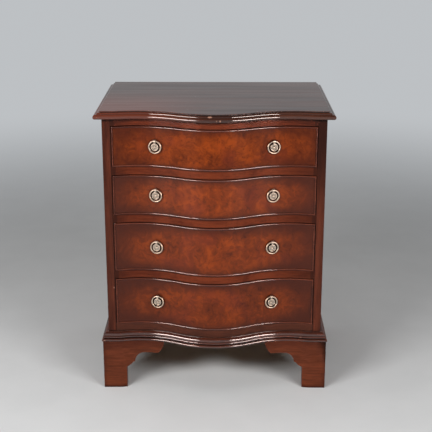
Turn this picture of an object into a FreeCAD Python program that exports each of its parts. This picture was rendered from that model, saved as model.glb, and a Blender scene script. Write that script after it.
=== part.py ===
import FreeCAD, Part
import math
import os
from FreeCAD import Placement, Rotation, Vector

# Serpentine chest of four drawers on bracket feet, with ring pulls.
# Millimetres, +Z up, front towards -Y. The origin is on the floor under the middle of the whole chest.

# Case
CASE_WIDTH = 540.0
CASE_DEPTH = 378.0
SIDE_THICKNESS = 21.0
RAIL_THICKNESS = 21.0
RAIL_DEPTH = 38.0
TOP_RAIL_HEIGHT = 18.5
BOTTOM_RAIL_HEIGHT = 43.5
BOTTOM_THICKNESS = 16.0
BACK_THICKNESS = 6.0
BACK_REBATE = 10.0
TENON_LENGTH = 8.0
TENON_SETBACK = 5.0
TENON_HEIGHT_SHARE = 0.6

# Serpentine front: a bowed crown between two hollows, easing into flat stiles
BOW_DEPTH = 45.5
HOLLOW_X = 187.0
CROWN_RADIUS_SHARE = 0.4635
END_RADIUS = 30.0

# Moulded edge of the top, from the flat surface down: a fillet, a groove, a bead and a half-round
TOP_LIP = 4.7
TOP_FILLET = 1.5
TOP_GROOVE_HEIGHT = 2.0
TOP_GROOVE_DEPTH = 1.5
TOP_STEP = 2.0
TOP_BEAD_RADIUS = 3.5
TOP_LEDGE = 2.5
TOP_ROUND_RADIUS = 6.0

# Base moulding, from the bottom up: a large bead, a small bead and an ovolo, each behind the last
BASE_PROUD = 10.0
BASE_LARGE_BEAD_RADIUS = 3.5
BASE_SMALL_BEAD_RADIUS = 3.0
BASE_QUIRK = 0.8
BASE_FILLET = 2.0
BASE_OVOLO_RADIUS = 7.0
BASE_TOP_EDGE = 1.0

# Bracket feet: a post, then an ovolo, a fillet and a cove up to a flat wing with a slanting end
FOOT_HEIGHT = 129.0
FOOT_PROUD = 14.0
FOOT_THICKNESS = 20.0
FOOT_POST_WIDTH = 59.0
FOOT_POST_HEIGHT = 57.0
FOOT_OVOLO_WIDTH = 17.0
FOOT_OVOLO_RISE = 13.0
FOOT_OVOLO_BULGE = 2.0
FOOT_FILLET = 4.0
FOOT_COVE_RADIUS = 26.0
FOOT_WING_FLAT = 34.0
FOOT_END_SLANT = 16.0
FOOT_END_BULGE = 3.0
REAR_BRACKET_WIDTH = 90.0
REAR_BRACKET_FOOT = 40.0
REAR_BRACKET_SHOULDER = 60.0
GLUE_BLOCK = 32.0
GLUE_BLOCK_LIFT = 6.0

# Drawers, two shallow over two deep
SHALLOW_OPENING = 101.0
DEEP_OPENING = 125.5
BOTTOM_OPENING = 123.5
DRAWER_SIDE_GAP = 1.0
DRAWER_TOP_GAP = 1.2
RUN_CLEARANCE = 0.3
DRAWER_BACK_GAP = 27.0
FRONT_THICKNESS = 22.0
DRAWER_SIDE_THICKNESS = 11.0
DRAWER_BACK_THICKNESS = 9.0
DRAWER_BACK_INSET = 8.0
DRAWER_BACK_DROP = 6.0
DRAWER_BOTTOM_THICKNESS = 5.0
DRAWER_BOTTOM_LIFT = 9.0
GROOVE_DEPTH = 5.0
DADO_DEPTH = 4.0
TAIL_PITCH = 34.0
TAIL_COVER = 2.0
TAIL_ROOT_SHARE = 0.24
TAIL_TIP_SHARE = 0.32
RUNNER_WIDTH = 30.0
STOP_WIDTH = 30.0
STOP_DEPTH = 12.0
STOP_HEIGHT = 5.0

# Cockbead let into the edges of every drawer front
BEAD_WIDTH = 4.0
BEAD_PROUD = 2.5
BEAD_DEPTH = 8.0

# Ring pulls
PULL_X = 142.5
RING_RADIUS = 14.6
RING_WIRE_RADIUS = 1.8
RING_STANDOFF = 5.0
RING_PLAY = 0.25
KNUCKLE_LENGTH = 6.0
KNUCKLE_WALL = 1.2
ARM_WIDTH = 4.0
ARM_DEPTH = 3.0
BOSS_RADIUS = 9.5
BOSS_NECK_RADIUS = 4.0
BOSS_FLANGE_RADIUS = 6.5
BOSS_FLANGE_HEIGHT = 2.0
BOSS_HEAD_BASE = 3.4
BOSS_HEAD_HEIGHT = 5.2
BOSS_RIM_RADIUS = 1.4
BOSS_BUTTON_RADIUS = 3.6
STUD_RADIUS = 2.0
STUD_TAIL = 2.0
NUT_RADIUS = 5.0
NUT_HEIGHT = 4.0
SEAT_TRIM = 0.25

# Countersunk wood screws
SCREW_RADIUS = 1.75
SCREW_HEAD_RADIUS = 3.5
SCREW_HEAD_HEIGHT = 2.0
SCREW_POINT = 4.0
BACK_SCREW_LENGTH = 20.0
BACK_SCREW_ROWS = 4
TOP_SCREW_SPACING = 150.0

# Worked-out places
CASE_HALF = CASE_WIDTH / 2
OPENING_HALF = CASE_HALF - SIDE_THICKNESS
DRAWER_HALF = OPENING_HALF - DRAWER_SIDE_GAP
FLAT_X = DRAWER_HALF - BEAD_WIDTH
TOP_THICKNESS = TOP_FILLET + TOP_GROOVE_HEIGHT + TOP_BEAD_RADIUS + 2 * TOP_ROUND_RADIUS
TOP_OVERHANG = TOP_LIP + TOP_STEP + TOP_BEAD_RADIUS + TOP_LEDGE + TOP_ROUND_RADIUS

CROWN_TILT = 2 * math.atan(BOW_DEPTH / HOLLOW_X)
CROWN_RADIUS = CROWN_RADIUS_SHARE * HOLLOW_X / math.sin(CROWN_TILT)
HOLLOW_RADIUS = HOLLOW_X / math.sin(CROWN_TILT) - CROWN_RADIUS
END_TILT = math.asin((FLAT_X - HOLLOW_X) / (HOLLOW_RADIUS + END_RADIUS))
FLARE = (HOLLOW_RADIUS + END_RADIUS) * (1 - math.cos(END_TILT))
CROWN_RISE = BOW_DEPTH - FLARE

BACK_Y = (CASE_DEPTH + CROWN_RISE + TOP_OVERHANG) / 2
STILE_Y = BACK_Y - CASE_DEPTH
HOLLOW_Y = STILE_Y + FLARE
CROWN_Y = STILE_Y - CROWN_RISE
RAIL_BACK_Y = HOLLOW_Y + RAIL_DEPTH
PANEL_Y = BACK_Y - BACK_THICKNESS
DRAWER_LENGTH = CASE_DEPTH - BACK_THICKNESS - DRAWER_BACK_GAP
DRAWER_BACK_Y = STILE_Y + DRAWER_LENGTH

# Opening heights from the bottom drawer up, and the z of each opening's floor
OPENINGS = {4: BOTTOM_OPENING, 3: DEEP_OPENING, 2: SHALLOW_OPENING, 1: SHALLOW_OPENING}
FLOORS = {4: FOOT_HEIGHT + BOTTOM_RAIL_HEIGHT}
for number in (3, 2, 1):
    FLOORS[number] = FLOORS[number + 1] + OPENINGS[number + 1] + RAIL_THICKNESS
TOP_RAIL_Z = FLOORS[1] + OPENINGS[1]
CASE_TOP_Z = TOP_RAIL_Z + TOP_RAIL_HEIGHT
TOP_Z = CASE_TOP_Z + TOP_THICKNESS

KNUCKLE_SAG = RING_RADIUS - math.sqrt(RING_RADIUS ** 2 - (KNUCKLE_LENGTH / 2) ** 2)
KNUCKLE_BORE = RING_WIRE_RADIUS + KNUCKLE_SAG + RING_PLAY
KNUCKLE_RADIUS = KNUCKLE_BORE + KNUCKLE_WALL
FAR = 2 * (CASE_WIDTH + CASE_DEPTH)
UP = Vector(0, 0, 1)


# Basic shapes

def block(x_range, y_range, z_range):
    """Box between two values along each axis."""
    low = Vector(min(x_range), min(y_range), min(z_range))
    high = Vector(max(x_range), max(y_range), max(z_range))
    size = high - low
    return Part.makeBox(size.x, size.y, size.z, low)


def side_plane(out, height):
    """Section square to the front: distance in front of the case face, and height."""
    return Vector(0, -out, height)


def front_plane(across, height):
    """Elevation seen from the front."""
    return Vector(across, -FAR / 2, height)


def floor_plane(across, back):
    """Plan seen from above."""
    return Vector(across, back, 0)


def outline_face(plane, start, *steps):
    """Face inside a closed outline. A step is an end point, or a (through, end) pair for an arc."""
    edges = []
    here = start
    for step in steps + (start,):
        curved = isinstance(step[0], tuple)
        end = step[1] if curved else step
        if curved:
            edges.append(Part.Arc(plane(*here), plane(*step[0]), plane(*end)).toShape())
        elif math.dist(here, end) > 0:
            edges.append(Part.makeLine(plane(*here), plane(*end)))
        here = end
    return Part.Face(Part.Wire(edges))


def round_step(centre, start, end):
    """Arc step about a centre, by the shorter way from start to end."""
    radius = math.dist(centre, start)
    middle = ((start[0] + end[0]) / 2 - centre[0], (start[1] + end[1]) / 2 - centre[1])
    scale = radius / math.hypot(*middle)
    return (centre[0] + scale * middle[0], centre[1] + scale * middle[1]), end


def bulged_step(start, end, bulge):
    """Arc step that swells to the right of the straight line from start to end."""
    run, rise = end[0] - start[0], end[1] - start[1]
    share = bulge / math.hypot(run, rise)
    return ((start[0] + end[0]) / 2 + share * rise, (start[1] + end[1]) / 2 - share * run), end


def rectangle(plane, first_range, second_range):
    """Rectangular face in a plane."""
    (a, b), (c, d) = first_range, second_range
    return outline_face(plane, (a, c), (b, c), (b, d), (a, d))


def joined(pieces):
    """One solid from pieces that touch or overlap."""
    return pieces[0].multiFuse(pieces[1:]).removeSplitter()


def mirrored(shape):
    """The same shape on the other side of the chest."""
    return shape.mirror(Vector(0, 0, 0), Vector(1, 0, 0))


# The serpentine line

def outward(tilt):
    """Outward direction of the front where its normal is turned by tilt towards +X."""
    return Vector(math.sin(tilt), -math.cos(tilt), 0)


def front_arcs():
    """Arcs of the case front, left to right: centre, radius (negative where hollow), first and last tilt."""
    hollow_y = HOLLOW_Y - HOLLOW_RADIUS
    return [
        (Vector(-FLAT_X, STILE_Y + END_RADIUS, 0), END_RADIUS, 0, END_TILT),
        (Vector(-HOLLOW_X, hollow_y, 0), -HOLLOW_RADIUS, END_TILT, -CROWN_TILT),
        (Vector(0, CROWN_Y + CROWN_RADIUS, 0), CROWN_RADIUS, -CROWN_TILT, CROWN_TILT),
        (Vector(HOLLOW_X, hollow_y, 0), -HOLLOW_RADIUS, CROWN_TILT, -END_TILT),
        (Vector(FLAT_X, STILE_Y + END_RADIUS, 0), END_RADIUS, -END_TILT, 0),
    ]


def front_spot(across):
    """Point on the case front at a given x, and the tilt of the surface there."""
    for centre, radius, first, last in front_arcs():
        ends = sorted(centre.x + radius * math.sin(tilt) for tilt in (first, last))
        if ends[0] <= across <= ends[1]:
            tilt = math.asin((across - centre.x) / radius)
            return centre + outward(tilt) * radius, tilt
    return Vector(across, STILE_Y, 0), 0.0


def front_prism(out, half, back_y, z_range):
    """Slab with a serpentine front edge, straight ends and a straight back edge."""
    corner = Vector(-half, STILE_Y - out, 0)
    edges = [Part.makeLine(corner, Vector(-FLAT_X, STILE_Y - out, 0))]
    for centre, radius, first, last in front_arcs():
        spots = [centre + outward(tilt) * (radius + out) for tilt in (first, (first + last) / 2, last)]
        edges.append(Part.Arc(*spots).toShape())
    corners = [Vector(FLAT_X, STILE_Y - out, 0), Vector(half, STILE_Y - out, 0)]
    corners += [Vector(half, back_y, 0), Vector(-half, back_y, 0), corner]
    edges += [Part.makeLine(a, b) for a, b in zip(corners, corners[1:])]
    face = Part.Face(Part.Wire(edges))
    face.translate(Vector(0, 0, z_range[0]))
    return face.extrude(Vector(0, 0, z_range[1] - z_range[0]))


def run_along_front(section, half):
    """A section carried along the case front from one end to the other."""
    first = section.copy()
    first.translate(Vector(-half, STILE_Y, 0))
    pieces = [first.extrude(Vector(half - FLAT_X, 0, 0))]
    for centre, radius, start, end in front_arcs():
        face = section.copy()
        spot = centre + outward(start) * radius
        face.Placement = Placement(spot, Rotation(UP, math.degrees(start)))
        pieces.append(face.revolve(centre, UP, math.degrees(end - start)))
    last = section.copy()
    last.translate(Vector(FLAT_X, STILE_Y, 0))
    pieces.append(last.extrude(Vector(half - FLAT_X, 0, 0)))
    return joined(pieces)


def corner_wedge(corner_x, corner_y, towards_front):
    """Everything on one side of the mitre at the left front corner."""
    far_side = (corner_x + FAR, corner_y - FAR) if towards_front else (corner_x - FAR, corner_y + FAR)
    face = outline_face(floor_plane, (corner_x, corner_y), (corner_x + FAR, corner_y + FAR), far_side)
    face.translate(Vector(0, 0, -FAR))
    return face.extrude(Vector(0, 0, 2 * FAR))


# Carcass

def make_top():
    """Top board: one moulded section along the front, crossed with the same section along the ends."""
    def edge_section():
        groove = TOP_LIP - TOP_GROOVE_DEPTH
        bead_root = TOP_LIP + TOP_STEP
        bead_nose = bead_root + TOP_BEAD_RADIUS
        round_root = bead_nose + TOP_LEDGE
        z_groove = TOP_Z - TOP_FILLET
        z_bead = z_groove - TOP_GROOVE_HEIGHT
        z_ledge = z_bead - TOP_BEAD_RADIUS
        bead = round_step((bead_root, z_ledge), (bead_root, z_bead), (bead_nose, z_ledge))
        half_round = (TOP_OVERHANG, z_ledge - TOP_ROUND_RADIUS), (round_root, CASE_TOP_Z)
        return outline_face(
            side_plane, (-END_RADIUS / 2, CASE_TOP_Z), (-END_RADIUS / 2, TOP_Z), (TOP_LIP, TOP_Z),
            (TOP_LIP, z_groove), (groove, z_groove), (groove, z_bead), (bead_root, z_bead), bead,
            (round_root, z_ledge), half_round)

    wide = CASE_HALF + 2 * TOP_OVERHANG
    front = run_along_front(edge_section(), wide)
    core = front_prism(0, wide, BACK_Y, (CASE_TOP_Z, TOP_Z))
    slab = joined([front, core])

    end = edge_section()
    end.Placement = Placement(Vector(-CASE_HALF, -FAR / 2, 0), Rotation(UP, -90))
    left = end.extrude(Vector(0, FAR / 2 + BACK_Y, 0))
    middle = block((-CASE_HALF, CASE_HALF), (-FAR / 2, BACK_Y), (CASE_TOP_Z, TOP_Z))
    return slab.common(joined([left, middle, mirrored(left)])).removeSplitter()


def make_rail(z_range):
    """Serpentine rail, its depth measured behind the hollows, with a stub tenon at each end."""
    rail = front_prism(0, OPENING_HALF, RAIL_BACK_Y, z_range)
    return joined([rail, make_tenons(z_range)])


def make_tenons(z_range):
    """The bar whose ends are a rail's two tenons."""
    middle = (z_range[0] + z_range[1]) / 2
    half_height = TENON_HEIGHT_SHARE * (z_range[1] - z_range[0]) / 2
    reach = OPENING_HALF + TENON_LENGTH
    y_range = (HOLLOW_Y + TENON_SETBACK, RAIL_BACK_Y - TENON_SETBACK)
    return block((-reach, reach), y_range, (middle - half_height, middle + half_height))


def make_left_side(tenons, screws):
    """Left side board, rebated for the back and mortised for the rails."""
    board = block((-CASE_HALF, -OPENING_HALF), (STILE_Y, BACK_Y), (FOOT_HEIGHT, CASE_TOP_Z))
    rebate = block((-OPENING_HALF - BACK_REBATE, 0), (PANEL_Y, FAR), (-FAR, FAR))
    return board.cut([rebate] + tenons + screws)


def make_runners():
    """Runner pair level with every opening's floor, and a kicker pair under the top."""
    pieces = []
    levels = [(floor - RAIL_THICKNESS, floor) for floor in FLOORS.values()]
    for z_range in levels + [(TOP_RAIL_Z, CASE_TOP_Z)]:
        left = block((-OPENING_HALF, RUNNER_WIDTH - OPENING_HALF), (RAIL_BACK_Y, PANEL_Y), z_range)
        pieces += [left, mirrored(left)]
    return pieces


def make_stops():
    """Stop pair on every opening's floor, just behind the hollows of the closed drawer front."""
    pieces = []
    front_y = HOLLOW_Y + FRONT_THICKNESS + RUN_CLEARANCE
    for floor in FLOORS.values():
        x_range = (-HOLLOW_X - STOP_WIDTH / 2, -HOLLOW_X + STOP_WIDTH / 2)
        left = block(x_range, (front_y, front_y + STOP_DEPTH), (floor, floor + STOP_HEIGHT))
        pieces += [left, mirrored(left)]
    return pieces


def make_base_mouldings():
    """Base moulding in three lengths, mitred at the front corners: front, left, right."""
    large_root = BASE_PROUD + BASE_SMALL_BEAD_RADIUS
    large_nose = large_root + BASE_LARGE_BEAD_RADIUS
    large_top = FOOT_HEIGHT + 2 * BASE_LARGE_BEAD_RADIUS
    small_z = large_top + BASE_QUIRK
    small_top = small_z + 2 * BASE_SMALL_BEAD_RADIUS
    ovolo_z = small_top + BASE_FILLET
    ovolo_root = BASE_PROUD - BASE_OVOLO_RADIUS
    ovolo_top = ovolo_z + BASE_OVOLO_RADIUS
    top_z = ovolo_top + BASE_TOP_EDGE
    lower_bead = (large_nose, FOOT_HEIGHT + BASE_LARGE_BEAD_RADIUS), (large_root, large_top)
    upper_bead = (large_root, small_z + BASE_SMALL_BEAD_RADIUS), (BASE_PROUD, small_top)
    ovolo = round_step((ovolo_root, ovolo_z), (BASE_PROUD, ovolo_z), (ovolo_root, ovolo_top))
    section = outline_face(
        side_plane, (0, FOOT_HEIGHT), (large_root, FOOT_HEIGHT), lower_bead, (BASE_PROUD, large_top),
        (BASE_PROUD, small_z), upper_bead, (BASE_PROUD, ovolo_z), ovolo, (ovolo_root, top_z), (0, top_z))

    reach = 2 * large_nose
    front = run_along_front(section, CASE_HALF + reach)
    wedge = corner_wedge(-CASE_HALF - reach, STILE_Y - reach, True)
    front = front.common(wedge).common(mirrored(wedge))

    end = section.copy()
    end.Placement = Placement(Vector(-CASE_HALF, STILE_Y - FAR / 2, 0), Rotation(UP, -90))
    left = end.extrude(Vector(0, BACK_Y - STILE_Y + FAR / 2, 0))
    left = left.common(corner_wedge(-CASE_HALF - reach, STILE_Y - reach, False))
    return front, left, mirrored(left)


def bracket_face(plane, start, direction):
    """Shaped elevation of a bracket, measured from its outer corner along one direction."""
    post = (FOOT_POST_WIDTH, FOOT_POST_HEIGHT)
    ovolo_s = FOOT_POST_WIDTH + FOOT_OVOLO_WIDTH
    ovolo_z = FOOT_POST_HEIGHT + FOOT_OVOLO_RISE
    cove_s = ovolo_s + FOOT_FILLET
    wing_s = cove_s + FOOT_COVE_RADIUS
    wing_z = ovolo_z + FOOT_COVE_RADIUS
    slant_s = wing_s + FOOT_WING_FLAT
    end_s = slant_s + FOOT_END_SLANT

    def placed(along, height):
        return plane(start + direction * along, height)

    ovolo = bulged_step(post, (ovolo_s, ovolo_z), FOOT_OVOLO_BULGE)
    cove = round_step((wing_s, ovolo_z), (cove_s, ovolo_z), (wing_s, wing_z))
    tip = bulged_step((slant_s, wing_z), (end_s, FOOT_HEIGHT), FOOT_END_BULGE)
    return outline_face(
        placed, (0, 0), (FOOT_POST_WIDTH, 0), post, ovolo, (cove_s, ovolo_z), cove, (slant_s, wing_z), tip,
        (0, FOOT_HEIGHT))


def end_plane(along, height):
    """Elevation seen from the left end."""
    return Vector(-CASE_HALF - FOOT_PROUD, along, height)


def make_front_left_foot():
    """Two shaped brackets mitred at the corner, with a glue block behind the joint."""
    corner_x = -CASE_HALF - FOOT_PROUD
    corner_y = STILE_Y - FOOT_PROUD
    band = rectangle(side_plane, (FOOT_PROUD - FOOT_THICKNESS, FOOT_PROUD), (0, FOOT_HEIGHT))
    front = run_along_front(band, CASE_HALF + FOOT_PROUD)
    front = front.common(bracket_face(front_plane, corner_x, 1).extrude(Vector(0, FAR, 0)))
    front = front.common(corner_wedge(corner_x, corner_y, True))

    side = bracket_face(end_plane, corner_y, 1).extrude(Vector(FOOT_THICKNESS, 0, 0))
    side = side.common(corner_wedge(corner_x, corner_y, False))

    inner_x = corner_x + FOOT_THICKNESS
    inner_y = corner_y + FOOT_THICKNESS
    corner_block = block((inner_x, inner_x + GLUE_BLOCK), (inner_y, inner_y + GLUE_BLOCK),
                         (GLUE_BLOCK_LIFT, FOOT_HEIGHT))
    return [front, side, corner_block.cut(front)]


def make_rear_left_foot():
    """Shaped side bracket, plain rear bracket and glue block."""
    side = bracket_face(end_plane, BACK_Y, -1).extrude(Vector(FOOT_THICKNESS, 0, 0))
    inner_x = -CASE_HALF - FOOT_PROUD + FOOT_THICKNESS
    rear = outline_face(
        front_plane, (inner_x, 0), (inner_x + REAR_BRACKET_FOOT, 0),
        (inner_x + REAR_BRACKET_FOOT, REAR_BRACKET_SHOULDER), (inner_x + REAR_BRACKET_WIDTH, FOOT_HEIGHT),
        (inner_x, FOOT_HEIGHT))
    rear.translate(Vector(0, FAR / 2 + BACK_Y - FOOT_THICKNESS, 0))
    rear = rear.extrude(Vector(0, FOOT_THICKNESS, 0))
    inner_y = BACK_Y - FOOT_THICKNESS
    corner_block = block((inner_x, inner_x + GLUE_BLOCK), (inner_y - GLUE_BLOCK, inner_y),
                         (GLUE_BLOCK_LIFT, FOOT_HEIGHT))
    return [side, rear, corner_block]


def make_screw(length, head, direction):
    """Countersunk screw with its flat head at a point, driven along a direction."""
    face = outline_face(
        lambda radius, depth: Vector(radius, 0, depth), (0, 0), (SCREW_HEAD_RADIUS, 0),
        (SCREW_RADIUS, SCREW_HEAD_HEIGHT), (SCREW_RADIUS, length - SCREW_POINT), (0, length))
    screw = face.revolve(Vector(0, 0, 0), UP, 360)
    screw.Placement = Placement(head, Rotation(UP, direction))
    return screw


def make_screws():
    """Screws that hold the back panel to the sides, and the top rail and kickers to the top."""
    screws = []
    rebate_x = OPENING_HALF + BACK_REBATE / 2
    pitch = (CASE_TOP_Z - FOOT_HEIGHT) / BACK_SCREW_ROWS
    for row in range(BACK_SCREW_ROWS):
        height = FOOT_HEIGHT + pitch * (row + 0.5)
        for across in (-rebate_x, rebate_x):
            screws.append(make_screw(BACK_SCREW_LENGTH, Vector(across, BACK_Y, height), Vector(0, -1, 0)))
    spots = [(TOP_SCREW_SPACING * step, (HOLLOW_Y + RAIL_BACK_Y) / 2) for step in (-1, 0, 1)]
    kicker_x = OPENING_HALF - RUNNER_WIDTH / 2
    spots += [(across, (RAIL_BACK_Y + PANEL_Y) / 2) for across in (-kicker_x, kicker_x)]
    length = TOP_RAIL_HEIGHT + TOP_THICKNESS / 2
    screws += [make_screw(length, Vector(across, y, TOP_RAIL_Z), UP) for across, y in spots]
    return screws


# Ring pulls, built square to the front at the origin with their outside towards -Y

def make_boss():
    """Turned boss with the knuckle that carries the ring, left long where it meets the curved front."""
    rim_out = BOSS_HEAD_BASE + BOSS_HEAD_HEIGHT / 2
    head_out = BOSS_HEAD_BASE + BOSS_HEAD_HEIGHT
    dish_out = rim_out - BOSS_RIM_RADIUS / 2
    dish_radius = BOSS_RADIUS - 2 * BOSS_RIM_RADIUS
    rim = ((BOSS_RADIUS - BOSS_RIM_RADIUS, rim_out + BOSS_RIM_RADIUS), (dish_radius, rim_out))
    cap = head_out - dish_out
    ball_radius = (BOSS_BUTTON_RADIUS ** 2 + cap ** 2) / (2 * cap)
    button = round_step((0, head_out - ball_radius), (BOSS_BUTTON_RADIUS, dish_out), (0, head_out))
    face = outline_face(
        lambda radius, out: Vector(radius, -out, 0), (0, -SEAT_TRIM), (BOSS_FLANGE_RADIUS, -SEAT_TRIM),
        (BOSS_FLANGE_RADIUS, BOSS_FLANGE_HEIGHT), (BOSS_NECK_RADIUS, BOSS_FLANGE_HEIGHT),
        (BOSS_NECK_RADIUS, BOSS_HEAD_BASE), (BOSS_RADIUS, rim_out), rim, (dish_radius, dish_out),
        (BOSS_BUTTON_RADIUS, dish_out), button)
    turning = face.revolve(Vector(0, 0, 0), Vector(0, 1, 0), 360)

    arm_y = (-RING_STANDOFF - ARM_DEPTH / 2, -RING_STANDOFF + ARM_DEPTH / 2)
    arm = block((-ARM_WIDTH / 2, ARM_WIDTH / 2), arm_y, (BOSS_RADIUS - BOSS_RIM_RADIUS, RING_RADIUS))
    knuckle_end = Vector(-KNUCKLE_LENGTH / 2, -RING_STANDOFF, RING_RADIUS)
    knuckle = Part.makeCylinder(KNUCKLE_RADIUS, KNUCKLE_LENGTH, knuckle_end, Vector(1, 0, 0))
    bore = Part.makeCylinder(KNUCKLE_BORE, KNUCKLE_LENGTH, knuckle_end, Vector(1, 0, 0))
    return joined([turning, arm, knuckle]).cut(bore)


def make_stud():
    """Stud from inside the boss's flange, through the drawer front and past the nut."""
    root = -BOSS_FLANGE_HEIGHT / 2
    length = FRONT_THICKNESS + NUT_HEIGHT + STUD_TAIL - root
    return Part.makeCylinder(STUD_RADIUS, length, Vector(0, root, 0), Vector(0, 1, 0))


def make_nut():
    """Hexagon nut on the stud, inside the drawer."""
    corners = [(NUT_RADIUS * math.cos(math.pi * step / 3), NUT_RADIUS * math.sin(math.pi * step / 3))
               for step in range(6)]
    face = outline_face(lambda across, height: Vector(across, FRONT_THICKNESS - SEAT_TRIM, height), *corners)
    return face.extrude(Vector(0, NUT_HEIGHT + SEAT_TRIM, 0)).cut(make_stud())


def make_ring():
    """Plain round ring hanging in the knuckle."""
    return Part.makeTorus(RING_RADIUS, RING_WIRE_RADIUS, Vector(0, -RING_STANDOFF, 0), Vector(0, 1, 0))


def at_pull(shape, across, height):
    """A pull's piece moved to its place on a drawer front, square to the surface there."""
    spot, tilt = front_spot(across)
    placed = shape.copy()
    seat = Placement(spot + UP * height, Rotation(UP, math.degrees(tilt)))
    placed.Placement = seat.multiply(shape.Placement)
    return placed


# Drawers

def make_cockbead(low, high):
    """Round-nosed bead round the edges of a drawer front, in four mitred strips."""
    nose = BEAD_WIDTH / 2
    shank = BEAD_PROUD - nose
    strips = []
    top_inner = high - BEAD_WIDTH
    for bottom, outer_z, inner_z in ((low, low, low + BEAD_WIDTH), (top_inner, high, top_inner)):
        rounding = ((BEAD_PROUD, bottom + nose), (shank, bottom + BEAD_WIDTH))
        section = outline_face(side_plane, (-BEAD_DEPTH, bottom), (shank, bottom), rounding,
                               (-BEAD_DEPTH, bottom + BEAD_WIDTH))
        mitre = outline_face(front_plane, (-DRAWER_HALF, outer_z), (DRAWER_HALF, outer_z), (FLAT_X, inner_z),
                             (-FLAT_X, inner_z))
        strips.append(run_along_front(section, DRAWER_HALF).common(mitre.extrude(Vector(0, FAR, 0))))

    nose_y = STILE_Y - shank
    rounding = ((-FLAT_X - nose, STILE_Y - BEAD_PROUD), (-FLAT_X, nose_y))
    root_y = STILE_Y + BEAD_DEPTH
    section = outline_face(floor_plane, (-DRAWER_HALF, root_y), (-DRAWER_HALF, nose_y), rounding,
                           (-FLAT_X, root_y))
    section.translate(UP * low)
    mitre = outline_face(front_plane, (-DRAWER_HALF, low), (-FLAT_X, low + BEAD_WIDTH),
                         (-FLAT_X, top_inner), (-DRAWER_HALF, high))
    left = section.extrude(UP * (high - low)).common(mitre.extrude(Vector(0, FAR, 0)))
    return strips + [left, mirrored(left)]


def make_drawer_front(low, high):
    """Serpentine drawer front with a rebate for the bead all round its face."""
    section = outline_face(
        side_plane, (-FRONT_THICKNESS, low), (-BEAD_DEPTH, low), (-BEAD_DEPTH, low + BEAD_WIDTH),
        (0, low + BEAD_WIDTH), (0, high - BEAD_WIDTH), (-BEAD_DEPTH, high - BEAD_WIDTH), (-BEAD_DEPTH, high),
        (-FRONT_THICKNESS, high))
    rebate = block((FLAT_X, FAR), (STILE_Y - FAR, STILE_Y + BEAD_DEPTH), (-FAR, FAR))
    return run_along_front(section, DRAWER_HALF).cut([rebate, mirrored(rebate)])


def make_left_tails(low, high, shoulder_y):
    """Dovetails on the front end of a left drawer side."""
    count = max(2, round((high - low) / TAIL_PITCH))
    pitch = (high - low) / count
    tip_y = STILE_Y + BEAD_DEPTH + TAIL_COVER
    tails = []
    for step in range(count):
        middle = low + pitch * (step + 0.5)
        root = pitch * TAIL_ROOT_SHARE
        tip = pitch * TAIL_TIP_SHARE
        face = outline_face(lambda back, height: Vector(-DRAWER_HALF, back, height), (tip_y, middle - tip),
                            (shoulder_y, middle - root), (shoulder_y, middle + root), (tip_y, middle + tip))
        tails.append(face.extrude(Vector(DRAWER_SIDE_THICKNESS, 0, 0)))
    return tails


def make_drawer(number):
    """All pieces of one drawer, closed, by node name."""
    low = FLOORS[number] + RUN_CLEARANCE
    high = FLOORS[number] + OPENINGS[number] - DRAWER_TOP_GAP
    side_high = high - BEAD_WIDTH
    inner_half = DRAWER_HALF - DRAWER_SIDE_THICKNESS
    shoulder_y = front_spot(inner_half)[0].y + FRONT_THICKNESS
    back_y = DRAWER_BACK_Y - DRAWER_BACK_INSET
    bottom_z = low + DRAWER_BOTTOM_LIFT
    bottom_top = bottom_z + DRAWER_BOTTOM_THICKNESS
    housed_half = inner_half + DADO_DEPTH
    housed = (-housed_half, housed_half)
    pull_z = (low + high) / 2

    bottom = front_prism(GROOVE_DEPTH - FRONT_THICKNESS, OPENING_HALF, back_y, (bottom_z, bottom_top))
    bottom = bottom.common(block(housed, (-FAR, FAR), (-FAR, FAR)))
    back = block(housed, (back_y - DRAWER_BACK_THICKNESS, back_y), (bottom_top, side_high - DRAWER_BACK_DROP))
    tails = make_left_tails(low, side_high, shoulder_y)
    blank = make_drawer_front(low, high)
    studs = {across: at_pull(make_stud(), across, pull_z) for across in (-PULL_X, PULL_X)}
    front = blank.cut(tails + [mirrored(tail) for tail in tails] + list(studs.values()) + [bottom])

    board = block((-DRAWER_HALF, -inner_half), (STILE_Y + FRONT_THICKNESS, DRAWER_BACK_Y), (low, side_high))
    left_side = joined([board] + tails).cut([front, bottom, back])
    pieces = {
        "front": [front],
        "cockbead": make_cockbead(low, high),
        "left_side": [left_side],
        "right_side": [mirrored(left_side)],
        "back": [back],
        "bottom": [bottom],
        "pull_bosses": [joined([at_pull(make_boss(), across, pull_z).cut(blank), stud])
                        for across, stud in studs.items()],
        "pull_nuts": [at_pull(make_nut(), across, pull_z).cut(blank) for across in studs],
        "left_ring": [at_pull(make_ring(), -PULL_X, pull_z)],
        "right_ring": [at_pull(make_ring(), PULL_X, pull_z)],
    }
    return {f"drawer_{number}_{name}": shapes for name, shapes in pieces.items()}


# Assembly

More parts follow.
